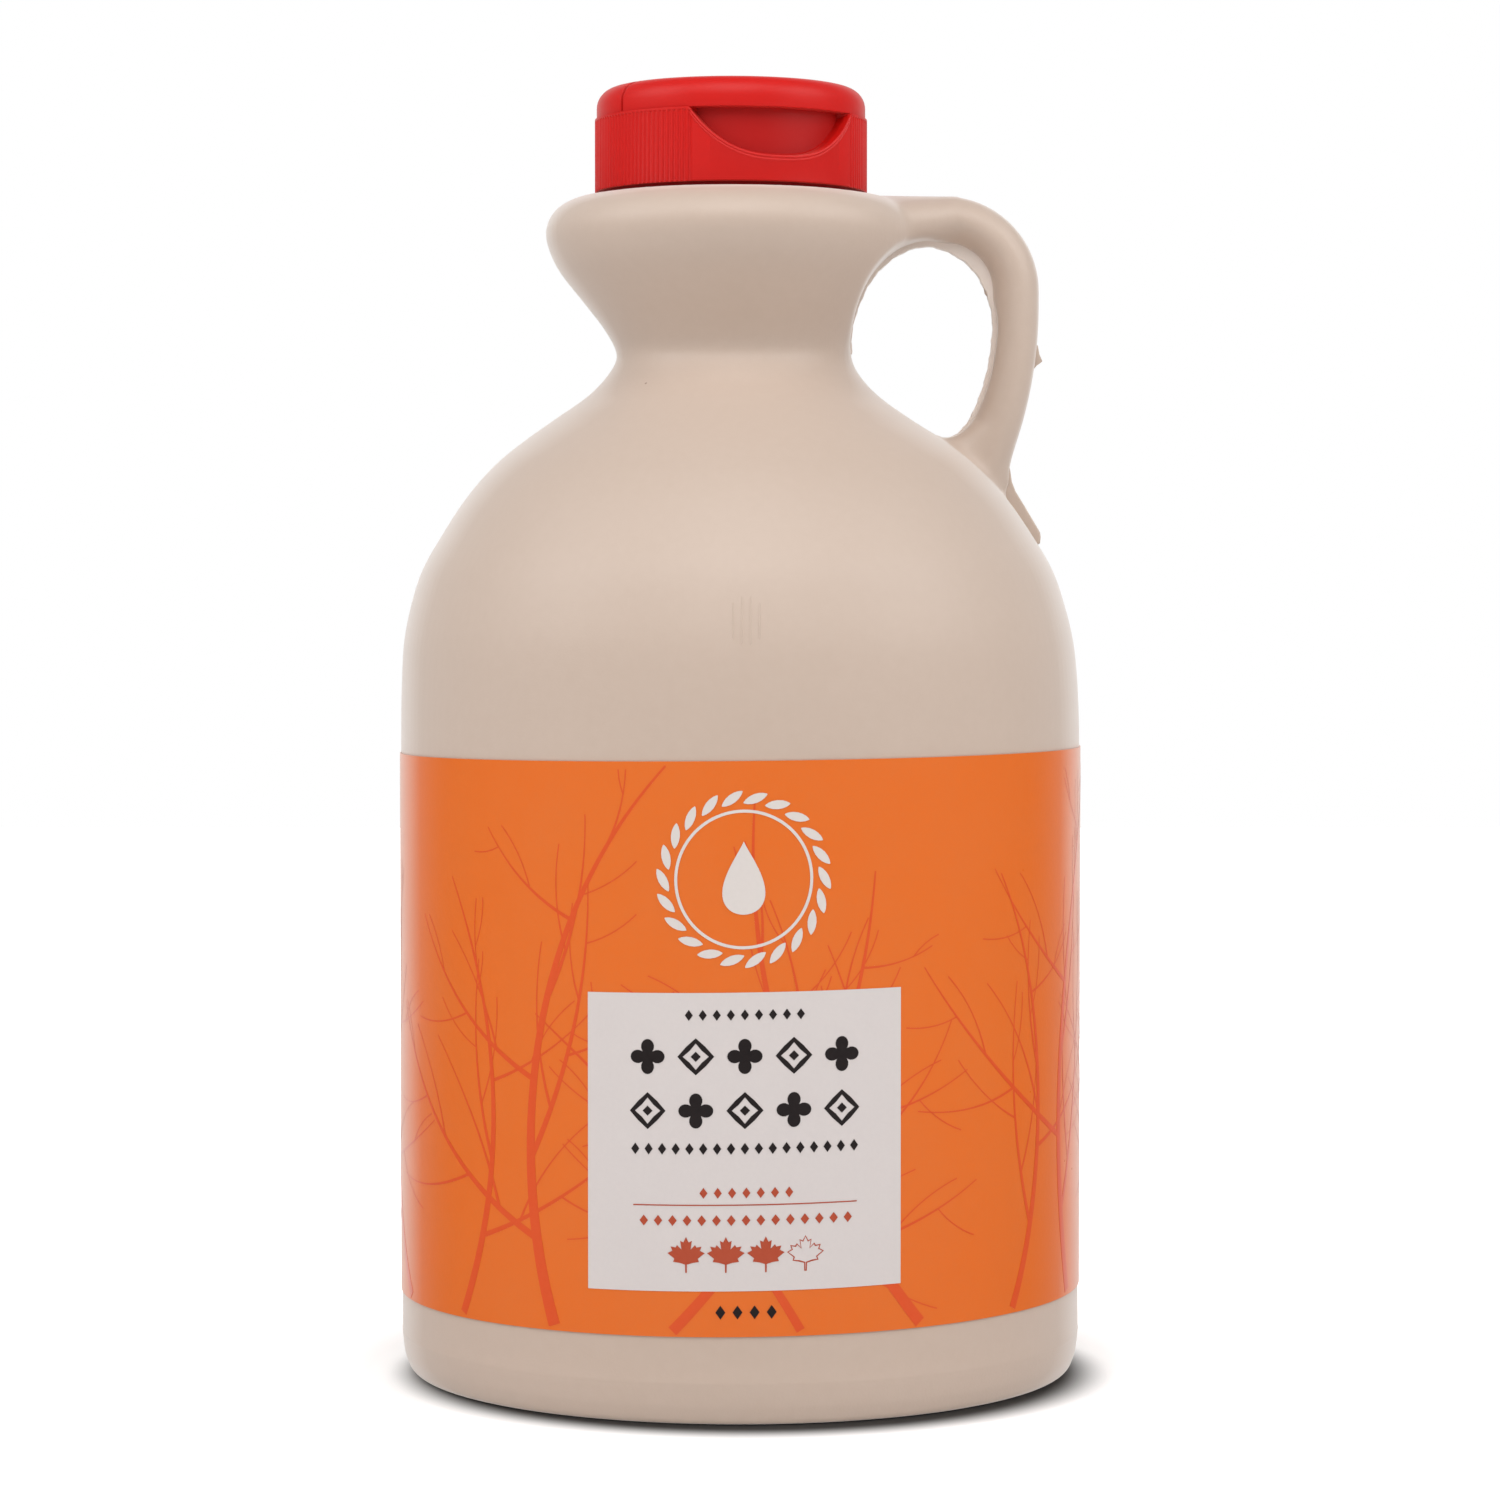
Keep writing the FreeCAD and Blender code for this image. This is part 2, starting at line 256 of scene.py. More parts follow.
def makeMottleGroup():
    # cloudy and fine tone changes of a moulded or printed surface
    tree, ins, outs = newGroup(
        "mottle",
        [("Vector", "Vector", None), ("Colour", "Color", None),
         ("Other", "Color", None), ("Cloud Scale", "Float", 30.0),
         ("Grain Scale", "Float", 900.0), ("Amount", "Float", 0.5)],
        [("Colour", "Color"), ("Tone", "Float")])
    cloud = tree.nodes.new("ShaderNodeTexNoise")
    setInputs(cloud, Detail=3.0)
    grain = tree.nodes.new("ShaderNodeTexNoise")
    setInputs(grain, Detail=2.0)
    for node, label in ((cloud, "Cloud Scale"), (grain, "Grain Scale")):
        tree.links.new(ins["Vector"], node.inputs["Vector"])
        tree.links.new(ins[label], node.inputs["Scale"])
    both = maths(tree, "ADD", cloud.outputs["Fac"], grain.outputs["Fac"])
    tone = ramp(tree, both, 0.5, 1.5)
    factor = maths(tree, "MULTIPLY", tone, ins["Amount"])
    tree.links.new(blendColour(tree, factor, ins["Colour"], ins["Other"]), outs["Colour"])
    tree.links.new(tone, outs["Tone"])
    return tree


def makeSpeckGroup():
    # sparse tiny dark specks, as on a handled plastic surface
    tree, ins, outs = newGroup(
        "specks",
        [("Vector", "Vector", None), ("Scale", "Float", 120.0),
         ("Size", "Float", 0.05), ("Rarity", "Float", 0.9)],
        [("Mask", "Float")])
    cells = tree.nodes.new("ShaderNodeTexVoronoi")
    tree.links.new(ins["Vector"], cells.inputs["Vector"])
    tree.links.new(ins["Scale"], cells.inputs["Scale"])
    dot = maths(tree, "LESS_THAN", cells.outputs["Distance"], ins["Size"])
    split = tree.nodes.new("ShaderNodeSeparateColor")
    tree.links.new(cells.outputs["Color"], split.inputs["Color"])
    rare = maths(tree, "GREATER_THAN", split.outputs["Red"], ins["Rarity"])
    tree.links.new(maths(tree, "MULTIPLY", dot, rare), outs["Mask"])
    return tree


mottle = makeMottleGroup()
specks = makeSpeckGroup()


def useGroup(tree, group, vector, **values):
    node = tree.nodes.new("ShaderNodeGroup")
    node.node_tree = group
    tree.links.new(vector, node.inputs["Vector"])
    setInputs(node, **values)
    return node.outputs


def paintRecessShade(tree, coords, colour, paintedRecessShade):
    # painted shade: the finger recess, inside the skirt's radius and below the lid, is given a darker colour
    away = vectorStep(tree, "MULTIPLY_ADD", coords, (1, 1, 0), (-paintedRecessShade["axis"], 0, 0))
    radius = vectorStep(tree, "LENGTH", away["Vector"])["Value"]
    inside = ramp(tree, radius, paintedRecessShade["reach"] - paintedRecessShade["fade"], paintedRecessShade["reach"], 1.0, 0.0)
    under = maths(tree, "LESS_THAN", axisOf(tree, coords, "Z"), paintedRecessShade["top"])
    mask = maths(tree, "MULTIPLY", inside, under)
    return blendColour(tree, mask, colour, paintedRecessShade["colour"])


def plasticMaterial(name, look):
    material, tree, shader, coords = newMaterial(name)
    tones = useGroup(tree, mottle, coords, Colour=look["colour"], Other=look["other"],
                     Cloud_Scale=look["cloud"], Grain_Scale=look["grain"], Amount=look["amount"])
    dots = useGroup(tree, specks, coords, Scale=look["speckScale"], Size=look["speckSize"],
                    Rarity=look["speckRarity"])
    colour = blendColour(tree, dots["Mask"], tones["Colour"], look["speckColour"])
    if "paintedRecessShade" in look:
        colour = paintRecessShade(tree, coords, colour, look["paintedRecessShade"])
    # painted reflection: the colour goes paler where the skin turns away, standing in for the bright studio
    # it reflects at a glancing view
    turned = tree.nodes.new("ShaderNodeLayerWeight")
    edge = ramp(tree, turned.outputs["Facing"], skinLook["paintedRimReflectionFrom"], 1.0, 0.0, look["edge"])
    colour = blendColour(tree, edge, colour, look["paintedRimReflectionColour"])
    tree.links.new(colour, shader.inputs["Base Color"])
    smooth = look["roughness"] - skinLook["roughSpread"]
    dull = look["roughness"] + skinLook["roughSpread"]
    tree.links.new(ramp(tree, tones["Tone"], 0.0, 1.0, smooth, dull), shader.inputs["Roughness"])
    fine = tree.nodes.new("ShaderNodeTexNoise")
    setInputs(fine, Scale=look["bumpScale"], Detail=2.0)
    tree.links.new(coords, fine.inputs["Vector"])
    bump = tree.nodes.new("ShaderNodeBump")
    setInputs(bump, Strength=look["bumpStrength"], Distance=skinLook["bumpDistance"])
    tree.links.new(fine.outputs["Fac"], bump.inputs["Height"])
    tree.links.new(bump.outputs["Normal"], shader.inputs["Normal"])
    setInputs(shader, Specular_IOR_Level=look["specular"], Sheen_Weight=look.get("sheen", 0.0))
    return material


# what every surface here shares
# each look's edge is how far a painted rim reflection pales the colour where the skin turns away
skinLook = {"paintedRimReflectionFrom": 0.66, "roughSpread": 0.03, "bumpDistance": 0.2 * mm}
jugLook = {
    "colour": linear(190, 169, 153), "other": linear(196, 176, 161), "speckColour": linear(146, 118, 100),
    "cloud": 28.0, "grain": 700.0, "amount": 0.6,
    "speckScale": 150.0, "speckSize": 0.03, "speckRarity": 0.975,
    "edge": 0.75, "paintedRimReflectionColour": linear(238, 229, 222),
    "roughness": 0.48, "bumpScale": 2600.0, "bumpStrength": 0.08, "specular": 0.75, "sheen": 0.25,
}
capLook = {
    "colour": linear(203, 18, 11), "other": linear(194, 17, 12), "speckColour": linear(222, 90, 80),
    "cloud": 60.0, "grain": 1500.0, "amount": 0.6,
    "speckScale": 260.0, "speckSize": 0.035, "speckRarity": 0.993,
    "edge": 0.25, "paintedRimReflectionColour": linear(226, 120, 108),
    "roughness": 0.42, "bumpScale": 3000.0, "bumpStrength": 0.05, "specular": 0.3,
    # painted shade in the finger recess: the cap's axis, the recess's reach from it and its soft rim, the
    # height it stays under, and the shade colour
    "paintedRecessShade": {"axis": -1.35 * mm, "reach": 19.2 * mm, "fade": 0.5 * mm, "top": 183.1 * mm,
               "colour": linear(176, 8, 4)},
}
labelLook = {
    "colour": linear(222, 105, 30), "other": linear(217, 110, 42), "speckColour": linear(205, 84, 30),
    "cloud": 90.0, "grain": 1800.0, "amount": 0.6,
    "speckScale": 300.0, "speckSize": 0.04, "speckRarity": 2.0,    # a rarity above 1 leaves no specks
    "edge": 0.55, "paintedRimReflectionColour": linear(240, 226, 214),
    "roughness": 0.3, "bumpScale": 1800.0, "bumpStrength": 0.06, "specular": 0.5,
}
# the web's paler colour is painted light, for the light the thin web catches and lets through inside the hole
webPaintedLightLook = dict(jugLook, colour=linear(232, 219, 209), other=linear(226, 210, 198))
jugPlastic = plasticMaterial("jugPlastic", jugLook)
capPlastic = plasticMaterial("capPlastic", capLook)
webPaintedLightPlastic = plasticMaterial("webPaintedLightPlastic", webPaintedLightLook)
labelPaper = plasticMaterial("labelPaper", labelLook)


def inkMaterial(name, colour, other):
    look = dict(labelLook, colour=colour, other=other, speckColour=other)
    return plasticMaterial(name, look)


veinInk = inkMaterial("veinInk", linear(214, 76, 30), linear(218, 86, 36))
panelInk = inkMaterial("panelInk", linear(208, 200, 197), linear(202, 194, 192))
blackInk = inkMaterial("blackInk", linear(38, 32, 32), linear(48, 42, 42))
rustInk = inkMaterial("rustInk", linear(172, 70, 44), linear(182, 82, 54))
whiteInk = inkMaterial("whiteInk", linear(213, 205, 200), linear(206, 197, 192))
print("materials ready")


# ---------- jug

jugShape = {
    "steps": 160,            # segments round the moulded top
    "drumSteps": 256,        # and round the drum
    "voxel": 0.683 * mm,     # size of the faces of the moulded top
    "splitHeight": 89.3,     # the two halves meet under the label
    "overlap": 1.4,
    "wall": 49.8,
    # (radius, height) of the hollowed base, of the round heel and of the fine line above it
    "base": [(0, 2.6), (20, 2.6), (38, 2.3), (42.5, 1.7), (44.2, 0.7), (45.0, 0.12), (45.6, 0.0)],
    "heel": [(47.2, 0.0), (48.0, 0.22), (48.65, 0.75), (49.1, 1.7), (49.5, 3.0), (49.8, 5.5)],
    "line": [(49.8, 5.75), (49.85, 6.0), (49.8, 6.25), (49.8, 9.0)],
    "stub": [(14.0, 172.0), (14.0, 176.0), (0, 176.0)],    # the mouth, closed inside the cap
}
# (radius, height, sideways shift) up the shoulder, waist and head
jugRings = [
    (49.8, 88.0, 0.0), (49.8, 94.0, 0.0), (49.6, 101.0, -0.08), (49.1, 107.0, -0.22), (47.85, 112.6, -0.35),
    (46.25, 117.3, -0.4), (43.65, 121.9, -0.45), (39.7, 127.8, -0.55), (35.5, 132.5, -0.7),
    (31.2, 136.0, -0.8), (26.0, 139.6, -0.95), (21.05, 143.1, -1.0), (18.0, 146.6, -0.95),
    (17.2, 149.0, -0.95), (18.8, 152.5, -1.05), (21.4, 156.0, -1.1), (24.95, 160.6, -1.2),
    (26.5, 163.4, -1.2), (27.3, 166.8, -1.2), (26.15, 169.6, -1.2), (23.6, 171.3, -1.2),
    (20.4, 171.95, -1.2),
]
profileLine = smoothLine([(radius, height, 0) for radius, height, shift in jugRings], 5)


def shoulderAt(height):
    # radius and sideways shift of the jug's skin at a height, in mm
    radius = profileLine[-1].x
    for low, high in zip(profileLine, profileLine[1:]):
        if low.y <= height <= high.y and high.y > low.y:
            part = (height - low.y) / (high.y - low.y)
            radius = low.x + (high.x - low.x) * part
            break
    shift = jugRings[-1][2]
    for (_, low, first), (_, high, second) in zip(jugRings, jugRings[1:]):
        if low <= height <= high:
            shift = first + (second - first) * (height - low) / (high - low)
            break
    return radius, shift if height > jugRings[0][1] else 0.0


def leanNeck(obj):
    # the neck stands a little to the left of the drum's axis
    for vert in obj.data.vertices:
        vert.co.x += shoulderAt(vert.co.z / mm)[1] * mm


def makeDrum():
    wall = jugShape["wall"]
    heelLine = smoothLine([(radius, height, 0) for radius, height in jugShape["heel"]], 4)
    profile = jugShape["base"] + [(point.x, point.y) for point in heelLine] + jugShape["line"]
    profile += [(wall, 20.0 + 10 * step) for step in range(7)]
    profile += [(wall, jugShape["splitHeight"]), (0, jugShape["splitHeight"])]
    return lathe("jugDrum", profile, jugShape["drumSteps"])


handleShape = {
    "level": 168.7,          # height of the level run out of the head
    "start": 10.0,
    "bendStart": 29.9,
    "bendRadius": 10.5,
    "straight": 2.1,
    "sweepRadius": 60.0,
    "sweepAngle": 31.0,
    "halfWidth": 3.45,
    "halfDepth": 4.8,
    "sides": 48,
    "bendSteps": 24,
    # fairing into the head: x, half height, half width; its top stays level
    "headRings": [(15.0, 5.6, 15.0), (18.0, 5.4, 13.8), (21.0, 5.1, 12.0), (24.0, 4.7, 9.9),
                  (27.0, 4.2, 7.7), (30.0, 3.65, 5.8), (31.8, 3.4, 4.8)],
    # fairing into the shoulder: angle down the sweep, inner and outer radius of the sweep, half width
    "rootRings": [(14.0, 56.7, 63.3, 4.7), (17.0, 56.2, 63.45, 4.7), (20.0, 54.0, 63.55, 4.75),
                  (22.0, 51.2, 63.85, 4.8), (24.0, 49.0, 64.7, 4.9), (27.0, 47.0, 64.6, 5.0)],
}


def ringTube(name, rings):
    # closed tube through oval rings: (middle x, middle z), (half axis x, half axis z), half width in y
    count = len(rings)
    profile = [(0, 0)] + [(1, index) for index in range(count)] + [(0, count - 1)]
    tube = lathe(name, profile, handleShape["sides"])
    for vert in tube.data.vertices:
        (midX, midZ), (axisX, axisZ), depth = rings[round(vert.co.z / mm)]
        across = vert.co.x / mm
        vert.co = ((midX + axisX * across) * mm, vert.co.y * depth, (midZ + axisZ * across) * mm)
    tidyMesh(tube)
    return tube


def makeFairings():
    top = handleShape["level"] + handleShape["halfWidth"]
    headRings = [((x, top - half), (0, half), depth) for x, half, depth in handleShape["headRings"]]
    sweepX = handleShape["bendStart"] + handleShape["bendRadius"] - handleShape["sweepRadius"]
    sweepZ = handleShape["level"] - handleShape["bendRadius"] - handleShape["straight"]
    rootRings = []
    for angle, inner, outer, depth in handleShape["rootRings"]:
        ray = Vector((math.cos(math.radians(angle)), -math.sin(math.radians(angle))))
        middle = Vector((sweepX, sweepZ)) + ray * (inner + outer) / 2
        rootRings.append((tuple(middle), tuple(ray * (outer - inner) / 2), depth))
    return [ringTube("headFairing", headRings), ringTube("rootFairing", rootRings)]


def makeHandle():
    sizes = ("level", "start", "bendStart", "bendRadius", "straight", "sweepRadius")
    level, start, bendStart, bend, straight, sweep = (handleShape[key] * mm for key in sizes)
    steps = handleShape["bendSteps"]
    deselectAll()
    bpy.ops.mesh.primitive_circle_add(vertices=handleShape["sides"], radius=mm, fill_type="NGON",
                                      location=(start, 0, level), rotation=(0, math.pi / 2, 0))
    handle = newPiece("jugHandle")
    handle.scale = (handleShape["halfWidth"], handleShape["halfDepth"], 1)
    bakePlace(handle)
    editAll(handle)
    pullOut(bendStart - start, 0, 0)
    bpy.ops.mesh.spin(steps=steps, angle=-math.pi / 2, center=(bendStart, 0, level - bend), axis=(0, 1, 0))
    pullOut(0, 0, -straight)
    bpy.ops.mesh.spin(steps=steps, angle=-math.radians(handleShape["sweepAngle"]),
                      center=(bendStart + bend - sweep, 0, level - bend - straight), axis=(0, 1, 0))
    leaveEdit()
    tidyMesh(handle)
    return handle


# outline of the finger hole (x, z), clockwise from its top
holeRim = [
    (26.9, 164.75), (30.6, 163.95), (34.0, 161.5), (36.0, 158.2), (37.0, 154.2), (36.8, 150.0), (36.1, 146.0),
    (34.8, 142.0), (33.0, 138.6), (30.6, 136.8), (28.0, 137.4), (24.5, 139.6), (21.0, 142.2), (18.0, 145.3),
    (16.4, 149.0), (16.5, 152.6), (17.7, 156.6), (19.6, 160.2), (22.9, 163.3),
]
# how far the moulding's own hole stands outside that outline, where the thin web lines it
webWidths = [0.8, 0.75, 0.7, 0.65, 0.65, 0.65, 0.65, 0.6, 0.45, 0.1, 0, 0, 0, 0, 0.1, 0.2, 0.35, 0.5, 0.7]
cutterHalf = 36.0            # the hole cutter's reach to each side


def makeHoleCutter():
    count = len(holeRim)
    wide = []
    for index, (x, z) in enumerate(holeRim):
        ahead = Vector(holeRim[(index + 1) % count]) - Vector(holeRim[index - 1])
        outward = Vector((-ahead.y, ahead.x)).normalized() * webWidths[index]
        wide.append((x + outward.x, z + outward.y))
    closed = wide[-1:] + wide + wide[:2]
    line = smoothLine([(x, 0, z) for x, z in closed], 4)[4:-4]
    cutter = filledOutline("holeCutter", [(point.x, -cutterHalf, point.z) for point in line[:-1]])
    editAll(cutter)
    pullOut(0, 2 * cutterHalf * mm, 0)
    leaveEdit()
    tidyMesh(cutter)
    return cutter, line


def smoothStep(value, low, high):
    part = min(1.0, max(0.0, (value - low) / (high - low)))
    return part * part * (3 - 2 * part)


# where the moulded top is softened after remeshing: each gap is a distance where the softening
# is full and one where it ends, and each tight gap where the true surface starts and is full again
softening = {
    "clear": (8.0, 116.0),       # nothing left of this x or below this height is softened
    "headX": 26.0, "headFoot": 160.0, "headGap": (2.5, 6.0), "headTight": (5.0, 9.0),
    "root": (34.0, 132.5), "rootGap": (4.0, 8.0), "rootTight": (7.0, 10.0), "rootShare": 0.5,
    "rimGap": (1.5, 5.0), "neckX": (24.0, 30.0),
    "far": 30.0,                 # a gap that softens nothing, for what is below the head
}


def softenAt(spot, rim):
    # how much the surface is softened and how closely it keeps its true place, at a spot (x, z)
    clearX, clearHeight = softening["clear"]
    if spot.x < clearX or spot.y < clearHeight:
        return 0.0, 1.0
    rimGap = min((spot - point).length for point in rim)
    headGap = abs(spot.x - softening["headX"]) if spot.y > softening["headFoot"] else softening["far"]
    rootGap = (spot - Vector(softening["root"])).length
    onNeck = 1 - smoothStep(spot.x, *softening["neckX"])
    nearRim = (1 - smoothStep(rimGap, *softening["rimGap"])) * onNeck
    nearHead = 1 - smoothStep(headGap, *softening["headGap"])
    nearRoot = softening["rootShare"] * (1 - smoothStep(rootGap, *softening["rootGap"]))
    tight = min(1 - nearRim, smoothStep(headGap, *softening["headTight"]),
                smoothStep(rootGap, *softening["rootTight"]))
    return max(nearRim, nearHead, nearRoot), tight


def makeTop():
    foot = jugShape["splitHeight"] - jugShape["overlap"]
    profile = [(0, foot), (jugShape["wall"], foot)]
    profile += [(point.x, point.y) for point in profileLine[1:]] + jugShape["stub"]
    skin = lathe("jugSkin", profile, jugShape["steps"])
    leanNeck(skin)
    parts = [makeHandle()] + makeFairings()
    cutter, rimLine = makeHoleCutter()
    for piece in [skin] + parts:
        applyModifier(piece, "BOOLEAN", object=cutter, operation="DIFFERENCE", solver="EXACT")
    top = joinInto(skin, parts)
    top.name = "jugTop"
    target = copyOf(top, "jugTopTarget")
    top.data.remesh_voxel_size = jugShape["voxel"]
    pickObject(top)
    bpy.ops.object.voxel_remesh()
    # soften where the handle runs into the head and shoulder, and along the hole
    rim = [Vector((point.x, point.z)) for point in rimLine]
    soft = top.vertex_groups.new(name="soft")
    clean = top.vertex_groups.new(name="clean")
    for vert in top.data.vertices:
        share, tight = softenAt(Vector((vert.co.x, vert.co.z)) / mm, rim)
        soft.add([vert.index], share, "REPLACE")
        clean.add([vert.index], tight, "REPLACE")
    applyModifier(top, "SMOOTH", factor=0.5, iterations=4)
    applyModifier(top, "SMOOTH", factor=0.6, iterations=15, vertex_group="soft")
    applyModifier(top, "SHRINKWRAP", target=target, wrap_method="NEAREST_SURFACEPOINT", vertex_group="clean")
    for piece in (target, cutter):
        bpy.data.objects.remove(piece, do_unlink=True)
    return top


def finishPiece(obj, material, angle=None):
    obj.data.materials.clear()
    obj.data.materials.append(material)
    pickObject(obj)
    if angle is None:
        bpy.ops.object.shade_smooth()
    else:
        bpy.ops.object.shade_smooth_by_angle(angle=math.radians(angle))
    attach(obj, "root")


jugDrum = makeDrum()
jugTop = makeTop()
finishPiece(jugDrum, jugPlastic, 40)
finishPiece(jugTop, jugPlastic)
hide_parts("jug")


def makePlate(name, outline, halfThick, edge):
    # a thin plate in the handle's plane from a closed outline of (x, z) points
    plate = filledOutline(name, [(x, -halfThick, z) for x, z in outline])
    editAll(plate)
    pullOut(0, 2 * halfThick * mm, 0)
    leaveEdit()
    tidyMesh(plate)
    applyModifier(plate, "BEVEL", width=edge * mm, segments=3, limit_method="ANGLE",
                  angle_limit=math.radians(60))
    return plate


webShape = {
    "from": 14, "to": 11,    # the stretch of the hole's outline that it lines
    "width": 2.0, "halfThick": 1.1, "edge": 0.3,
    "taper": 8,              # points over which each end widens
    "ragged": ((0.05, 1.15), (0.03, 2.6)),   # size and pace of the two waves of its inner edge
}


def makeWeb():
    # the thin moulding web that lines the hole, from the waist over the top to the handle's root
    lined = holeRim[webShape["from"]:] + holeRim[:webShape["to"]]
    line = smoothLine([(x, 0, z) for x, z in lined], 8)
    inner = [Vector((point.x, point.z)) for point in line]
    outer = []
    for index, spot in enumerate(inner):
        ahead = inner[min(index + 1, len(inner) - 1)] - inner[max(index - 1, 0)]
        ends = min(index, len(inner) - 1 - index)
        width = webShape["width"] * min(1, 0.1 + ends / webShape["taper"])
        outer.append(spot + Vector((-ahead.y, ahead.x)).normalized() * width)
    for index, spot in enumerate(inner):
        ragged = sum(size * math.sin(index * pace) for size, pace in webShape["ragged"])
        inner[index] = spot + (spot - outer[index]).normalized() * ragged
    outline = [tuple(spot) for spot in outer + inner[::-1]]
    return makePlate("handleWeb", outline, webShape["halfThick"], webShape["edge"])


# the fin that runs down the shoulder from the handle's root, and the two nibs of flash:
# outline (x, z), half thickness, rounded edge
flashShapes = {
    "shoulderFin": ([(37.0, 135.2), (39.2, 134.0), (39.65, 132.3), (39.95, 130.3), (40.5, 128.9),
                     (41.8, 126.8), (43.1, 124.6), (44.1, 122.9), (44.2, 122.2), (44.1, 121.3),
                     (42.9, 120.6), (41.0, 121.5), (38.0, 126.0)], 0.55, 0.25),
    "outerNib": ([(43.2, 150.6), (43.72, 150.3), (43.95, 149.0), (44.4, 148.0), (44.1, 147.75),
                  (43.6, 147.4), (42.9, 146.6)], 0.45, 0.15),
    "innerNib": ([(36.9, 160.6), (36.0, 160.2), (35.45, 159.3), (35.75, 158.7), (35.9, 157.9),
                  (36.4, 157.3), (37.3, 156.6)], 0.4, 0.12),
}
finishPiece(makeWeb(), webPaintedLightPlastic, 50)
for name, (outline, halfThick, edge) in flashShapes.items():
    finishPiece(makePlate(name, outline, halfThick, edge), jugPlastic, 50)


markShape = {
    "radius": 0.11, "sides": 8, "bands": 8,
    # each ridge: x, lower end, upper end
    "ridges": [(-0.85, 107.7, 112.5), (0.35, 106.9, 113.3), (1.55, 106.9, 113.3), (2.75, 107.7, 112.5)],
}


def makeMark():
    # a small moulded mark of plain upright ridges on the shoulder
    ridges = []
    bands = markShape["bands"]
    for x, low, high in markShape["ridges"]:
        deselectAll()
        bpy.ops.mesh.primitive_cylinder_add(vertices=markShape["sides"], radius=markShape["radius"] * mm,
                                            depth=(high - low) * mm,
                                            location=(x * mm, 0, (low + high) / 2 * mm))
        ridge = newPiece("markRidge")
        bakePlace(ridge)
        editAll(ridge)
        for band in range(1, bands):
            bpy.ops.mesh.select_all(action="SELECT")
            bpy.ops.mesh.bisect(plane_co=(0, 0, (low + (high - low) * band / bands) * mm), plane_no=(0, 0, 1))
        leaveEdit()
        for vert in ridge.data.vertices:
            radius, shift = shoulderAt(vert.co.z / mm)
            across = vert.co.x / mm - shift
            vert.co.y -= math.sqrt(radius ** 2 - across ** 2) * mm
        ridges.append(ridge)
    mark = joinInto(ridges[0], ridges[1:])
    mark.name = "mouldMark"
    return mark


mouldMark = makeMark()
finishPiece(mouldMark, jugPlastic, 40)
print("jug ready", len(jugTop.data.polygons))


# ---------- cap

capShape = {
    "centre": -1.35,         # the cap sits on the neck's own axis
    "turn": 21.5,            # the finger recess faces this far to the right of the front
    "bottom": 171.95,
    "bore": 14.0,
    "ribs": 158,
    "ribDepth": 0.17,
    "smoothHalf": 38.0,      # half of the plain zone round the recess, in degrees
    "ringRadius": 18.6,      # the plain ring under the skirt
    "skirtRadius": 19.95,
    "skirtBottom": 0.6,
    "skirtTop": 11.2,
    "skirtInner": 15.0,
    "recessHalf": 38.9,      # half of the recess, in degrees
    "recessHeight": 6.85,
    "recessPower": 2.6,
    "recessDepth": 2.0,
    # rows of the outer wall: first height and spacing before they are moved to the recess edge;
    # the rim's rows below that edge and how far out; the scoop's rows above it as a share, and how far in
    "rowStart": 5.0,
    "rowGap": 0.4,
    "rimRows": [(-1.0, 0.0), (-0.72, 0.1), (-0.5, 0.0), (-0.28, 0.1), (-0.05, 0.0)],
    "scoopRows": [(0.02, -0.9), (0.05, -1.0), (0.5, -1.0), (1.0, -1.0)],
    "lidSides": 256,
    "lidRadius": 19.68,
    "lidTop": 15.75,
    "lidRound": 2.9,
    "lidRings": 4,           # rings inset in the lid's top, so that it can be crowned
    "lidInset": 0.22,        # each as a share of the flat top's radius
    "lidEdge": 0.14,
    "crown": 0.3,
    "hinge": 5.05,
    "slit": 0.55,
}


def placeCap(obj):
    # drawn about the Z axis with the recess at the front, then turned and set on the neck
    deselectAll()
    obj.matrix_world = (Matrix.Translation((capShape["centre"] * mm, 0, capShape["bottom"] * mm))
                        @ Matrix.Rotation(math.radians(capShape["turn"]), 4, "Z"))
    bakePlace(obj)


def skirtRow(height, curve):
    # new height and push outwards of a point of the outer wall, given the recess edge above it
    top = capShape["skirtTop"]
    rimRows = capShape["rimRows"]
    room = top - curve
    if height < capShape["rowStart"] - 0.1:
        return height, 0.0
    row = round((height - capShape["rowStart"]) / capShape["rowGap"])
    if row < len(rimRows):
        drop, out = rimRows[row]
        return curve + drop - 0.02, out * smoothStep(room, 0.0, 0.25)
    share, depth = capShape["scoopRows"][row - len(rimRows)]
    push = depth * capShape["recessDepth"] * smoothStep(room, 0.0, 0.8)
    if room < 0.02:
        return top - 0.02 + 0.02 * share, push
    return curve + room * share, push


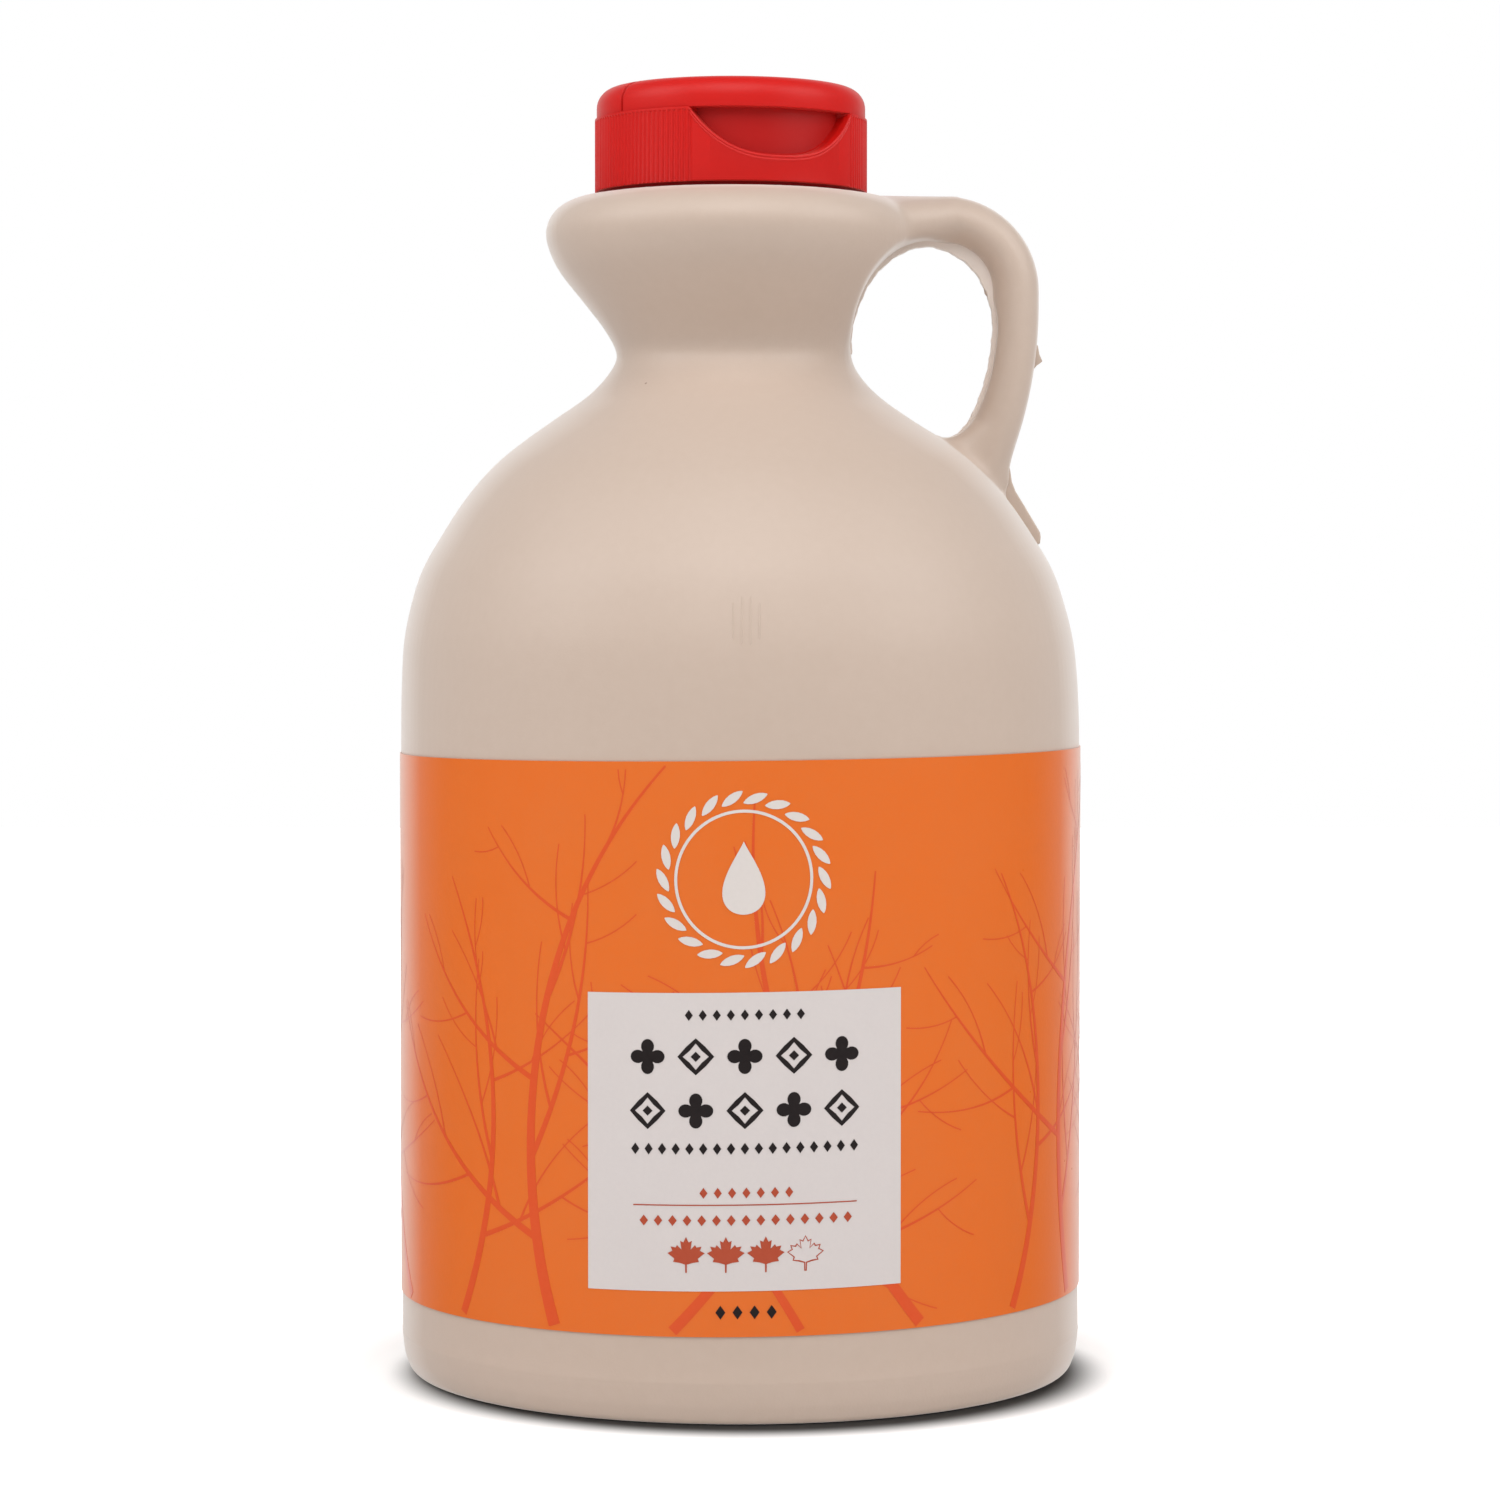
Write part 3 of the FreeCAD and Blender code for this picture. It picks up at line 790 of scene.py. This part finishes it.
def makeSkirt():
    outer = capShape["skirtRadius"]
    bottom = capShape["skirtBottom"]
    top = capShape["skirtTop"]
    ring = capShape["ringRadius"]
    rows = len(capShape["rimRows"]) + len(capShape["scoopRows"])
    profile = [(capShape["bore"], 0.0), (ring, 0.0), (ring, bottom)]
    profile += [(outer - 0.12, bottom), (outer, bottom + 0.15)]
    profile += [(outer, capShape["rowStart"] + capShape["rowGap"] * index) for index in range(rows)]
    profile += [(capShape["skirtInner"], top), (capShape["bore"], top)]
    columns = capShape["ribs"] * 4
    skirt = lathe("capSkirt", profile, columns)
    for vert in skirt.data.vertices:
        radius = math.hypot(vert.co.x, vert.co.y) / mm
        if radius < ring + 0.01:
            continue
        angle = math.degrees(math.atan2(vert.co.x, -vert.co.y))
        column = round(angle * columns / 360)
        offset = abs(angle) / capShape["recessHalf"]
        curve = top - capShape["recessHeight"] * max(0.0, 1 - offset ** capShape["recessPower"])
        height, push = skirtRow(vert.co.z / mm, curve)
        ribbed = abs(angle) > capShape["smoothHalf"] and bottom + 0.1 < height < top - 0.4
        if ribbed and column % 4 in (0, 1):
            push -= capShape["ribDepth"]
        scale = (radius + push) / radius
        vert.co.x *= scale
        vert.co.y *= scale
        vert.co.z = height * mm
    tidyMesh(skirt)
    placeCap(skirt)
    return skirt


def makeLidPart(name, front):
    bottom = capShape["skirtTop"]
    top = capShape["lidTop"]
    flat = capShape["lidRadius"] - capShape["lidRound"]
    deselectAll()
    bpy.ops.mesh.primitive_cylinder_add(vertices=capShape["lidSides"], radius=capShape["lidRadius"] * mm,
                                        depth=(top - bottom) * mm, location=(0, 0, (top + bottom) / 2 * mm),
                                        end_fill_type="NGON")
    lid = newPiece(name)
    bakePlace(lid)
    selectFaces(lid, lambda centre, normal: normal.z > 0.9)
    bpy.ops.mesh.bevel(offset=capShape["lidRound"] * mm, segments=10, profile=0.5, affect="EDGES")
    selectFaces(lid, lambda centre, normal: normal.z > 0.999)
    for ring in range(capShape["lidRings"]):
        bpy.ops.mesh.inset(thickness=flat * capShape["lidInset"] * mm, depth=0)
    leaveEdit()
    for vert in lid.data.vertices:
        if vert.co.z > (top - 0.01) * mm:
            away = math.hypot(vert.co.x, vert.co.y) / mm / flat
            vert.co.z += capShape["crown"] * mm * (1 - away ** 2)
    editAll(lid)
    edge = capShape["hinge"] + (capShape["slit"] if front else 0.0)
    bpy.ops.mesh.bisect(plane_co=(0, -edge * mm, 0), plane_no=(0, -1, 0), use_fill=True,
                        clear_inner=front, clear_outer=not front)
    leaveEdit()
    tidyMesh(lid)
    applyModifier(lid, "BEVEL", width=capShape["lidEdge"] * mm, segments=3, limit_method="ANGLE",
                  angle_limit=math.radians(50))
    placeCap(lid)
    return lid


capSkirt = makeSkirt()
capRear = makeLidPart("capRear", False)
capFlap = makeLidPart("capFlap", True)
finishPiece(capSkirt, capPlastic, 25)
finishPiece(capRear, capPlastic, 40)
finishPiece(capFlap, capPlastic, 40)
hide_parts("cap_base")
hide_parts("cap_flap")
print("cap ready")


# ---------- label, drawn flat (x along the wrap, z up) and then wound round the drum

labelShape = {
    "radius": 50.0,
    "bottom": 12.5,
    "height": 78.6,
    "skew": 0.0095,          # rise to the right, as a share of the way across
    "thickness": 0.15,
    "cell": 0.8,             # width of the sheet's upright strips
    "lift": 0.02,            # height of one layer; each ink is on a layer of its own or shares one
    "ink": 0.015,
    "strokeFlat": 0.03,      # a stroke's thickness as a share of its width
    "printSkew": 0.0045,     # the print leans a little more than the sheet
}


def flatGrid(name, width, height, centreX, centreZ, cell=1.2):
    deselectAll()
    bpy.ops.mesh.primitive_grid_add(x_subdivisions=max(1, math.ceil(width / cell)), y_subdivisions=1, size=1,
                                    location=(centreX * mm, 0, centreZ * mm), rotation=(math.pi / 2, 0, 0))
    piece = newPiece(name)
    piece.scale = (width * mm, height * mm, 1)
    bakePlace(piece)
    return piece


def wrapPiece(piece, layer, lean=True):
    # winds a flat piece round the drum, raised by so many layers; all but layer 0, the sheet, can lean
    base = labelShape["radius"] * mm
    lift = labelShape["lift"] * layer * mm
    for vert in piece.data.vertices:
        turn = vert.co.x / base
        radius = base + lift - vert.co.y
        across = radius * math.sin(turn)
        tilt = across * labelShape["skew"] + (vert.co.x * labelShape["printSkew"] if layer and lean else 0)
        vert.co = (across, -radius * math.cos(turn), vert.co.z + tilt)


def finishInk(pieces, name, layer, ink):
    # winds the flat pieces of one ink round the drum as a single skin with a little thickness
    skin = joinInto(pieces[0], pieces[1:]) if len(pieces) > 1 else pieces[0]
    skin.name = name
    wrapPiece(skin, layer)
    editAll(skin)
    bpy.ops.mesh.normals_make_consistent(inside=False)
    leaveEdit()
    outward = sum(face.normal.dot(face.center * Vector((1, 1, 0))) for face in list(skin.data.polygons)[:200])
    if outward < 0:
        editAll(skin)
        bpy.ops.mesh.flip_normals()
        leaveEdit()
    applyModifier(skin, "SOLIDIFY", thickness=labelShape["ink"] * mm, offset=-1)
    finishPiece(skin, ink, 40)


def makeSheet():
    middle = labelShape["bottom"] + labelShape["height"] / 2
    turn = 2 * math.pi * labelShape["radius"]
    sheet = flatGrid("labelSheet", turn, labelShape["height"], 0, middle, labelShape["cell"])
    wrapPiece(sheet, 0)
    tidyMesh(sheet)
    applyModifier(sheet, "SOLIDIFY", thickness=labelShape["thickness"] * mm, offset=-1)
    return sheet


def flatShape(name, outline, centreX, centreZ, size, cell=0.9):
    # a filled flat figure from its outline, cut into upright strips so that it can follow the drum
    figure = filledOutline(name, [(centreX + x * size, 0, centreZ + z * size) for x, z in outline])
    editAll(figure)
    reach = max(abs(x) for x, z in outline) * size
    cuts = int(2 * reach / cell)
    for cut in range(1, cuts + 1):
        bpy.ops.mesh.select_all(action="SELECT")
        bpy.ops.mesh.bisect(plane_co=((centreX - reach + 2 * reach * cut / (cuts + 1)) * mm, 0, 0),
                            plane_no=(1, 0, 0))
    leaveEdit()
    return figure


def strokeInk(name, lines, layer, ink, closed=True, lean=True):
    # strokes of ink from lines of (x, z, half width), as flattened tubes wound round the drum
    deselectAll()
    bpy.ops.curve.primitive_bezier_curve_add()
    stroke = bpy.context.object
    stroke.data.splines.clear()
    stroke.data.dimensions = "3D"
    stroke.data.bevel_depth = mm
    stroke.data.bevel_resolution = 1
    stroke.data.use_fill_caps = True
    for line in lines:
        spline = stroke.data.splines.new("POLY")
        spline.points.add(len(line) - 1)
        spline.use_cyclic_u = closed
        for point, (x, z, half) in zip(spline.points, line):
            point.co = (x * mm, 0, z * mm, 1)
            point.radius = half
    bpy.ops.object.convert(target="MESH")
    strokes = newPiece(name)
    for vert in strokes.data.vertices:
        vert.co.y *= labelShape["strokeFlat"]
    wrapPiece(strokes, layer, lean)
    finishPiece(strokes, ink, 60)


def roundLine(count, rule):
    # a closed outline from a rule that gives (x, z) at each turn, clockwise from the top
    return [rule(2 * math.pi * step / count) for step in range(count)]


labelSheet = makeSheet()
finishPiece(labelSheet, labelPaper, 40)
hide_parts("label")

# twigs in a slightly redder orange, drawn by rule: each limb curves and throws side twigs in turn
twigShape = {
    "first": -150.0,         # foot of the first limb, then one every "pitch" round the drum
    "pitch": 17.6,
    "count": 17,
    # heading from upright, bend over its length, length, half width: used in turn
    "kinds": [(-40, 44, 78, 0.62), (26, -58, 64, 0.5), (-18, 62, 84, 0.68), (44, -40, 70, 0.55),
              (-30, -24, 58, 0.45)],
    "foot": 0.75,            # above the label's lower edge
    "margin": 0.1,
    "top": 90.6,
    "step": 1.1,
    "weight": 1.6,
    "taper": 0.85,           # share of its width that a line loses by its tip
    "thinnest": 0.1,
    "sideGap": 13.0,
    "gapShares": [(0.9, 0.86), (0.55, 0.6)],   # first and later gaps on a limb, then on a side twig
    "lastSide": 0.86,        # share of a limb after which it throws no more
    "sideAngle": 46,
    "sideBend": 30,
    "sideLength": (0.62, 3),                   # share of what is left of the limb, and a little more
    "sideHalf": (0.62, 0.8),                   # share of the limb's own width, and how fast that falls
}


def growTwig(lines, x, z, heading, length, half, bend, depth, side):
    steps = max(4, int(length / twigShape["step"]))
    line = []
    firstShare, laterShare = twigShape["gapShares"][min(depth, 1)]
    lengthShare, lengthMore = twigShape["sideLength"]
    halfShare, halfFall = twigShape["sideHalf"]
    nextSide = twigShape["sideGap"] * firstShare
    for index in range(steps + 1):
        along = index / steps
        if not labelShape["bottom"] + twigShape["margin"] < z < twigShape["top"]:
            break
        width = twigShape["weight"] * half * (1 - twigShape["taper"] * along)
        line.append((x, z, max(twigShape["thinnest"], width)))
        travelled = along * length
        if depth < 2 and travelled > nextSide and along < twigShape["lastSide"]:
            side = -side
            nextSide += twigShape["sideGap"] * laterShare
            growTwig(lines, x, z, heading + side * twigShape["sideAngle"],
                     (length - travelled) * lengthShare + lengthMore,
                     half * (1 - halfFall * along) * halfShare,
                     -side * twigShape["sideBend"], depth + 1, side)
        turn = math.radians(heading + bend * along)
        x += math.sin(turn) * length / steps
        z += math.cos(turn) * length / steps
    if len(line) > 2:
        lines.append(line)


twigLines = []
for index in range(twigShape["count"]):
    heading, bend, length, half = twigShape["kinds"][index % len(twigShape["kinds"])]
    growTwig(twigLines, twigShape["first"] + twigShape["pitch"] * index,
             labelShape["bottom"] + twigShape["foot"], heading, length, half, bend, 0, 1 if index % 2 else -1)
strokeInk("labelTwigs", twigLines, 1, veinInk, closed=False, lean=False)

panelShape = {"left": -21.4, "right": 22.9, "bottom": 18.8, "top": 59.6}
panelWide = panelShape["right"] - panelShape["left"]
panelHigh = panelShape["top"] - panelShape["bottom"]
panel = flatGrid("panel", panelWide, panelHigh, (panelShape["left"] + panelShape["right"]) / 2,
                 (panelShape["bottom"] + panelShape["top"]) / 2)
finishInk([panel], "labelPanel", 3, panelInk)

# rows of plain ornaments and beads; no lettering
ornaments = {
    "middle": 0.75, "pitch": 6.7, "count": 5, "size": 2.35, "rows": (50.9, 43.5),
    "diamondShare": 0.92, "stroke": 0.42, "dot": 0.7,
    # bead rows: left, right, middle z, number, bead width, bead height
    "blackBeads": [(-6.9, 8.4, 56.55, 9, 1.1, 1.5), (-14.4, 15.9, 38.3, 17, 1.15, 1.6)],
    "rustBeads": [(-4.9, 6.8, 32.25, 7, 1.1, 1.5), (-13.2, 15.0, 28.5, 15, 1.2, 1.5)],
    "volumeBeads": [(-2.6, 4.4, 15.9, 4, 1.35, 1.9)],
    "rule": (31.0, 0.16, 0.8, 30.6, 1.0),      # width, height, middle x and z, strip width
}
diamond = [(0, 1), (0.5, 0.5), (1, 0), (0.5, -0.5), (0, -1), (-0.5, -0.5), (-1, 0), (-0.5, 0.5)]


def rosettePoint(turn):
    reach = 0.42 + 0.6 * abs(math.cos(2 * turn)) ** 0.8
    return (reach * math.sin(turn), reach * math.cos(turn))


def beadRows(rows):
    beads = []
    for left, right, z, count, width, height in rows:
        figure = [(u * width / 2, v * height / 2) for u, v in diamond]
        for index in range(count):
            beads.append(flatShape("bead", figure, left + (right - left) * index / (count - 1), z, 1.0))
    return beads


def outlineAt(figure, x, z, size, half):
    return [(x + u * size, z + v * size, half) for u, v in figure]


rosette = roundLine(48, rosettePoint)
blackPieces = beadRows(ornaments["blackBeads"])
diamondLines = []
for index in range(ornaments["count"]):
    x = ornaments["middle"] + (index - ornaments["count"] // 2) * ornaments["pitch"]
    for row, z in enumerate(ornaments["rows"]):
        # rosettes and open diamonds take turns, along a row and between the rows
        if (index + row) % 2 == 0:
            blackPieces.append(flatShape("rosette", rosette, x, z, ornaments["size"]))
            continue
        diamondLines.append(outlineAt(diamond, x, z, ornaments["size"] * ornaments["diamondShare"],
                                      ornaments["stroke"]))
        blackPieces.append(flatShape("dot", diamond, x, z, ornaments["dot"]))
finishInk(blackPieces, "labelOrnaments", 5, blackInk)
strokeInk("labelDiamonds", diamondLines, 4, blackInk)
finishInk(beadRows(ornaments["volumeBeads"]), "labelVolume", 3, blackInk)

# a plain maple leaf, drawn as its right half and mirrored
leafHalf = [(0.0, 1.0), (0.14, 0.72), (0.31, 0.8), (0.24, 0.34), (0.48, 0.58), (0.55, 0.45), (0.82, 0.5),
            (0.73, 0.28), (0.99, 0.15), (0.62, -0.14), (0.69, -0.31), (0.34, -0.36), (0.05, -0.45),
            (0.04, -0.88)]
leafOutline = leafHalf + [(-x, z) for x, z in leafHalf[:0:-1]]
leafRow = {"filled": (-7.3, -1.85, 3.6), "outlined": 9.05, "z": 23.65, "size": 2.6, "outlineShare": 0.96,
           "stroke": 0.12}
rustPieces = [flatShape("leaf", leafOutline, x, leafRow["z"], leafRow["size"]) for x in leafRow["filled"]]
rustPieces += beadRows(ornaments["rustBeads"])
rustPieces.append(flatGrid("rule", *ornaments["rule"]))
finishInk(rustPieces, "labelRustPrint", 5, rustInk)
leafLine = outlineAt(leafOutline, leafRow["outlined"], leafRow["z"],
                     leafRow["size"] * leafRow["outlineShare"], leafRow["stroke"])
strokeInk("labelLeafLine", [leafLine], 4, rustInk)

# a wreath of small leaves round a drop, in white
wreath = {"x": 0.6, "z": 75.0, "ring": 9.3, "stroke": 0.24, "leafRing": 11.1, "leaves": 22, "leafLength": 3.5,
          "leafWidth": 1.25, "leafLean": 62, "cell": 1.2, "drop": 5.0, "dropRise": 0.2, "dropWidth": 0.82}


def bladePoint(turn):
    return (math.cos(turn), math.sin(turn) * abs(math.sin(turn)) ** 0.6)


def dropPoint(turn):
    return (math.sin(turn) * math.sin(turn / 2) ** 1.4 * wreath["dropWidth"], math.cos(turn))


def turned(figure, angle, length, width):
    # the figure stretched to a length and width, its long way pointing at the angle from upright
    return [(math.sin(angle) * u * length / 2 + math.cos(angle) * v * width / 2,
             math.cos(angle) * u * length / 2 - math.sin(angle) * v * width / 2) for u, v in figure]


bladeOutline = roundLine(16, bladePoint)
whitePieces = []
for index in range(wreath["leaves"]):
    around = 2 * math.pi * (index + 0.5) / wreath["leaves"]
    blade = turned(bladeOutline, around + math.radians(wreath["leafLean"]), wreath["leafLength"],
                   wreath["leafWidth"])
    whitePieces.append(flatShape("blade", blade, wreath["x"] + wreath["leafRing"] * math.sin(around),
                                 wreath["z"] + wreath["leafRing"] * math.cos(around), 1.0, wreath["cell"]))
whitePieces.append(flatShape("drop", roundLine(48, dropPoint), wreath["x"], wreath["z"] + wreath["dropRise"],
                             wreath["drop"], wreath["cell"]))
finishInk(whitePieces, "labelWreath", 3, whiteInk)
circle = roundLine(96, lambda turn: (math.sin(turn), math.cos(turn)))
ringLine = outlineAt(circle, wreath["x"], wreath["z"], wreath["ring"], wreath["stroke"])
strokeInk("labelRing", [ringLine], 2, whiteInk)
print("label ready", len(twigLines), "twigs")


# ---------- camera, light and floor

cameraView = {"x": 1.44, "y": -628.5, "z": 112.6, "down": 1.98, "lens": 102.4}
deselectAll()
bpy.ops.object.camera_add(location=(cameraView["x"] * mm, cameraView["y"] * mm, cameraView["z"] * mm),
                          rotation=(math.radians(90 - cameraView["down"]), 0, 0))
camera = bpy.context.object
camera.data.lens = cameraView["lens"]
camera.data.sensor_width = 36
bpy.context.scene.camera = camera

lampAim = (0, 0, 0.1)        # the middle of the jug
lamps = {
    # name: (place, size, power)
    "softLeft": ((-0.68, -0.3, 0.62), 0.6, 2.6),
    "softRight": ((0.68, -0.3, 0.62), 0.6, 2.6),
    "softFront": ((0.0, -0.62, 0.82), 0.7, 4.0),
}
for name, (place, size, power) in lamps.items():
    bpy.ops.object.light_add(type="AREA", location=place)
    lamp = bpy.context.object
    lamp.name = name
    lamp.data.shape = "SQUARE"
    lamp.data.size = size
    lamp.data.energy = power
    lamp.rotation_euler = (Vector(lampAim) - Vector(place)).to_track_quat("-Z", "Y").to_euler()


# how bright the studio is for the jug from the camera's side and from behind, and in reflections
studio = {"fillFront": 0.36, "fillBack": 0.9, "glossFrom": 0.35, "glossTo": 1.1, "glossFront": 0.0}


def makeStudio():
    # white to the camera and softly lit for the jug; in reflections the studio is bright behind
    # the jug and dark on the camera's side
    world = bpy.data.worlds.new("studio")
    bpy.context.scene.world = world
    world.use_nodes = True
    tree = world.node_tree
    coords = tree.nodes.new("ShaderNodeTexCoord")
    depth = axisOf(tree, coords.outputs["Generated"], "Y")
    back = ramp(tree, depth, studio["glossFrom"], studio["glossTo"], studio["glossFront"], 1.0)
    back.node.interpolation_type = "SMOOTHSTEP"
    rays = tree.nodes.new("ShaderNodeLightPath").outputs
    glossy = maths(tree, "MULTIPLY", back, rays["Is Glossy Ray"])
    seen = maths(tree, "MAXIMUM", rays["Is Camera Ray"], rays["Is Transmission Ray"])
    mirror = maths(tree, "MAXIMUM", seen, rays["Is Glossy Ray"])
    fill = ramp(tree, depth, -1.0, 1.0, studio["fillFront"], studio["fillBack"])
    soft = maths(tree, "MULTIPLY", maths(tree, "SUBTRACT", 1.0, mirror), fill)
    strength = maths(tree, "ADD", maths(tree, "MAXIMUM", glossy, seen), soft)
    background = tree.nodes["Background"]
    setInputs(background, Color=(1, 1, 1, 1))
    tree.links.new(strength, background.inputs["Strength"])


floorLook = {
    "size": 3.0, "colour": 0.93, "roughness": 0.6, "specular": 0.1,
    # the painted shadow under the jug: where it is darkest and where it ends, how dark, and its shift
    "contact": (0.0453, 0.0543), "contactDark": 0.03, "contactShift": (-0.0013, 0.0048),
    # the paper's own glow by the jug, and the distances over which it goes over to white
    "lift": 0.16, "whiteFrom": 0.055, "whiteTo": 0.1,
}


def makeFloor():
    # paper that goes over to plain white away from the jug, for the camera only
    deselectAll()
    bpy.ops.mesh.primitive_plane_add(size=floorLook["size"], location=(0, 0, 0))
    floor = newPiece("floor")
    material, tree, shader, coords = newMaterial("floorPaper")
    setInputs(shader, Roughness=floorLook["roughness"], Specular_IOR_Level=floorLook["specular"])
    toCamera = tree.nodes.new("ShaderNodeLightPath").outputs["Is Camera Ray"]
    away = vectorStep(tree, "LENGTH", coords)["Value"]
    far = ramp(tree, away, floorLook["whiteFrom"], floorLook["whiteTo"], floorLook["lift"], 1.0)
    # a painted shadow round the jug's foot, seen by the camera only
    moved = vectorStep(tree, "ADD", coords, (*floorLook["contactShift"], 0))["Vector"]
    near = vectorStep(tree, "LENGTH", moved)["Value"]
    contact = ramp(tree, near, *floorLook["contact"], floorLook["contactDark"], 1.0)
    contact.node.interpolation_type = "SMOOTHSTEP"
    unseen = maths(tree, "SUBTRACT", 1.0, toCamera)
    shade = maths(tree, "MAXIMUM", contact, unseen)
    paper = tree.nodes.new("ShaderNodeCombineColor")
    for channel in paper.inputs:
        tree.links.new(maths(tree, "MULTIPLY", shade, floorLook["colour"]), channel)
    tree.links.new(paper.outputs[0], shader.inputs["Base Color"])
    glow = tree.nodes.new("ShaderNodeEmission")
    lift = maths(tree, "MULTIPLY", far, contact)
    tree.links.new(maths(tree, "MULTIPLY", lift, toCamera), glow.inputs["Strength"])
    both = tree.nodes.new("ShaderNodeAddShader")
    tree.links.new(shader.outputs[0], both.inputs[0])
    tree.links.new(glow.outputs[0], both.inputs[1])
    tree.links.new(both.outputs[0], tree.nodes["Material Output"].inputs["Surface"])
    floor.data.materials.append(material)
    floor.visible_glossy = False


makeStudio()
makeFloor()
bpy.context.scene.view_settings.view_transform = "Standard"
print("studio ready")
